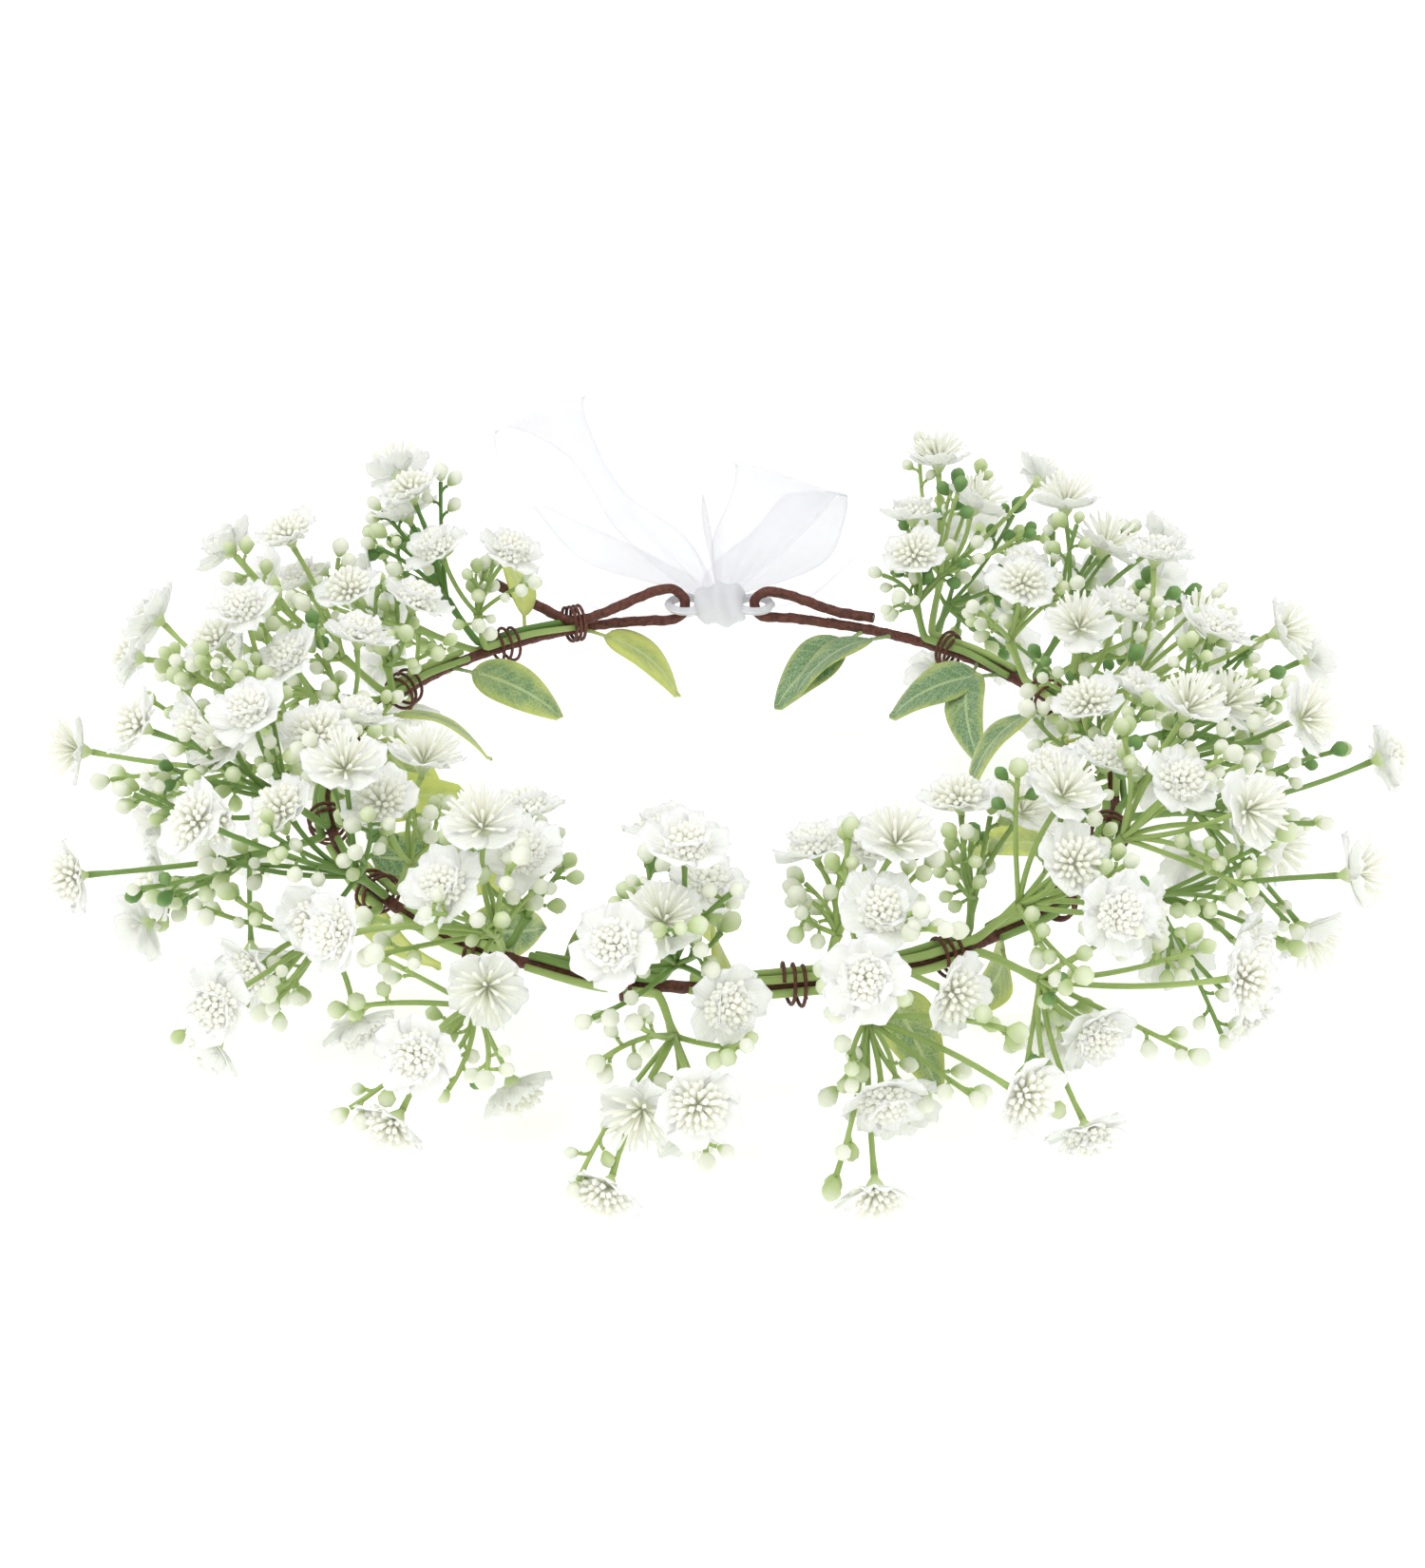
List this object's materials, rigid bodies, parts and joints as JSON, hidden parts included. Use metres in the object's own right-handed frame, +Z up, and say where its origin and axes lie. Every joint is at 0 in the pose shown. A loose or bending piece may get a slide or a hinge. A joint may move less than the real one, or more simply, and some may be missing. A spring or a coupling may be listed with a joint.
{
  "type": "flower crown",
  "caption": "Artificial gypsophila flower crown on a tape-wrapped wire ring, with leaf picks and a sheer ribbon bow tied through two wire eyes.",
  "frame": {"origin": "middle of the head opening, at the level of the surface that the crown lies on", "axes": "+Z up out of the opening, +Y to the back with the bow, +X to the side"},
  "size_m": [0.3168, 0.3395, 0.0819],
  "materials": {
    "steel_wire": "bare drawn wire",
    "floral_tape": "crinkled waxed paper tape",
    "binding_wire": "paper-covered thin wire",
    "stem_plastic": "moulded, satin",
    "petal_plastic": "soft translucent moulding",
    "stamen_plastic": "soft translucent moulding",
    "leaf_flock": "flocked cloth",
    "organza": "sheer organza"
  },
  "bodies": {
    "crown": {"frame_wire": "steel_wire", "ring_tape": "floral_tape", "left_eye_tape": "floral_tape", "right_eye_tape": "floral_tape", "binding_wire": "binding_wire", "gypsophila_stems_1": "stem_plastic", "gypsophila_stems_2": "stem_plastic", "gypsophila_stems_3": "stem_plastic", "gypsophila_stems_4": "stem_plastic", "gypsophila_stems_5": "stem_plastic", "gypsophila_stems_6": "stem_plastic", "gypsophila_stems_7": "stem_plastic", "gypsophila_stems_8": "stem_plastic", "gypsophila_stems_9": "stem_plastic", "gypsophila_stems_10": "stem_plastic", "gypsophila_stems_11": "stem_plastic", "gypsophila_stems_12": "stem_plastic", "gypsophila_stems_13": "stem_plastic", "gypsophila_stems_14": "stem_plastic", "petal_rosettes_1": "petal_plastic", "petal_rosettes_2": "petal_plastic", "petal_rosettes_3": "petal_plastic", "petal_rosettes_4": "petal_plastic", "petal_rosettes_5": "petal_plastic", "petal_rosettes_6": "petal_plastic", "petal_rosettes_7": "petal_plastic", "petal_rosettes_8": "petal_plastic", "petal_rosettes_9": "petal_plastic", "petal_rosettes_10": "petal_plastic", "petal_rosettes_11": "petal_plastic", "petal_rosettes_12": "petal_plastic", "petal_rosettes_13": "petal_plastic", "petal_rosettes_14": "petal_plastic", "stamen_tufts_1": "stamen_plastic", "stamen_tufts_2": "stamen_plastic", "stamen_tufts_3": "stamen_plastic", "stamen_tufts_4": "stamen_plastic", "stamen_tufts_5": "stamen_plastic", "stamen_tufts_6": "stamen_plastic", "stamen_tufts_7": "stamen_plastic", "stamen_tufts_8": "stamen_plastic", "stamen_tufts_9": "stamen_plastic", "stamen_tufts_10": "stamen_plastic", "stamen_tufts_11": "stamen_plastic", "stamen_tufts_12": "stamen_plastic", "stamen_tufts_13": "stamen_plastic", "stamen_tufts_14": "stamen_plastic", "leaf_pick_1": "leaf_flock", "leaf_pick_2": "leaf_flock", "leaf_pick_3": "leaf_flock", "leaf_pick_4": "leaf_flock", "leaf_pick_5": "leaf_flock", "leaf_pick_6": "leaf_flock"},
    "bow": {"ribbon_knot": "organza"},
    "left_loop": {"ribbon_left_loop": "organza"},
    "right_loop": {"ribbon_right_loop": "organza"},
    "left_tail": {"ribbon_left_tail": "organza"},
    "right_tail": {"ribbon_right_tail": "organza"}
  },
  "joints": [
    {"name": "bow_tilt", "type": "hinge", "parent": "crown", "child": "bow", "pos_m": [0, 0.09, 0.0349], "axis": [1, 0, 0], "range_deg": [-12, 25]},
    {"name": "left_loop_bend", "type": "hinge", "parent": "bow", "child": "left_loop", "pos_m": [-0.00549, 0.09477, 0.0391], "axis": [0.6561, 0.7547, 0], "range_deg": [-5, 20]},
    {"name": "right_loop_bend", "type": "hinge", "parent": "bow", "child": "right_loop", "pos_m": [0.00354, 0.09667, 0.03858], "axis": [0.8829, -0.4695, 0], "range_deg": [-3, 20]},
    {"name": "left_tail_bend", "type": "hinge", "parent": "bow", "child": "left_tail", "pos_m": [-0.00489, 0.09583, 0.03135], "axis": [0.766, 0.6428, 0], "range_deg": [-10, 4]},
    {"name": "right_tail_bend", "type": "hinge", "parent": "bow", "child": "right_tail", "pos_m": [0.00285, 0.09706, 0.03135], "axis": [0.9272, -0.3746, 0], "range_deg": [-10, 3]}
  ]
}
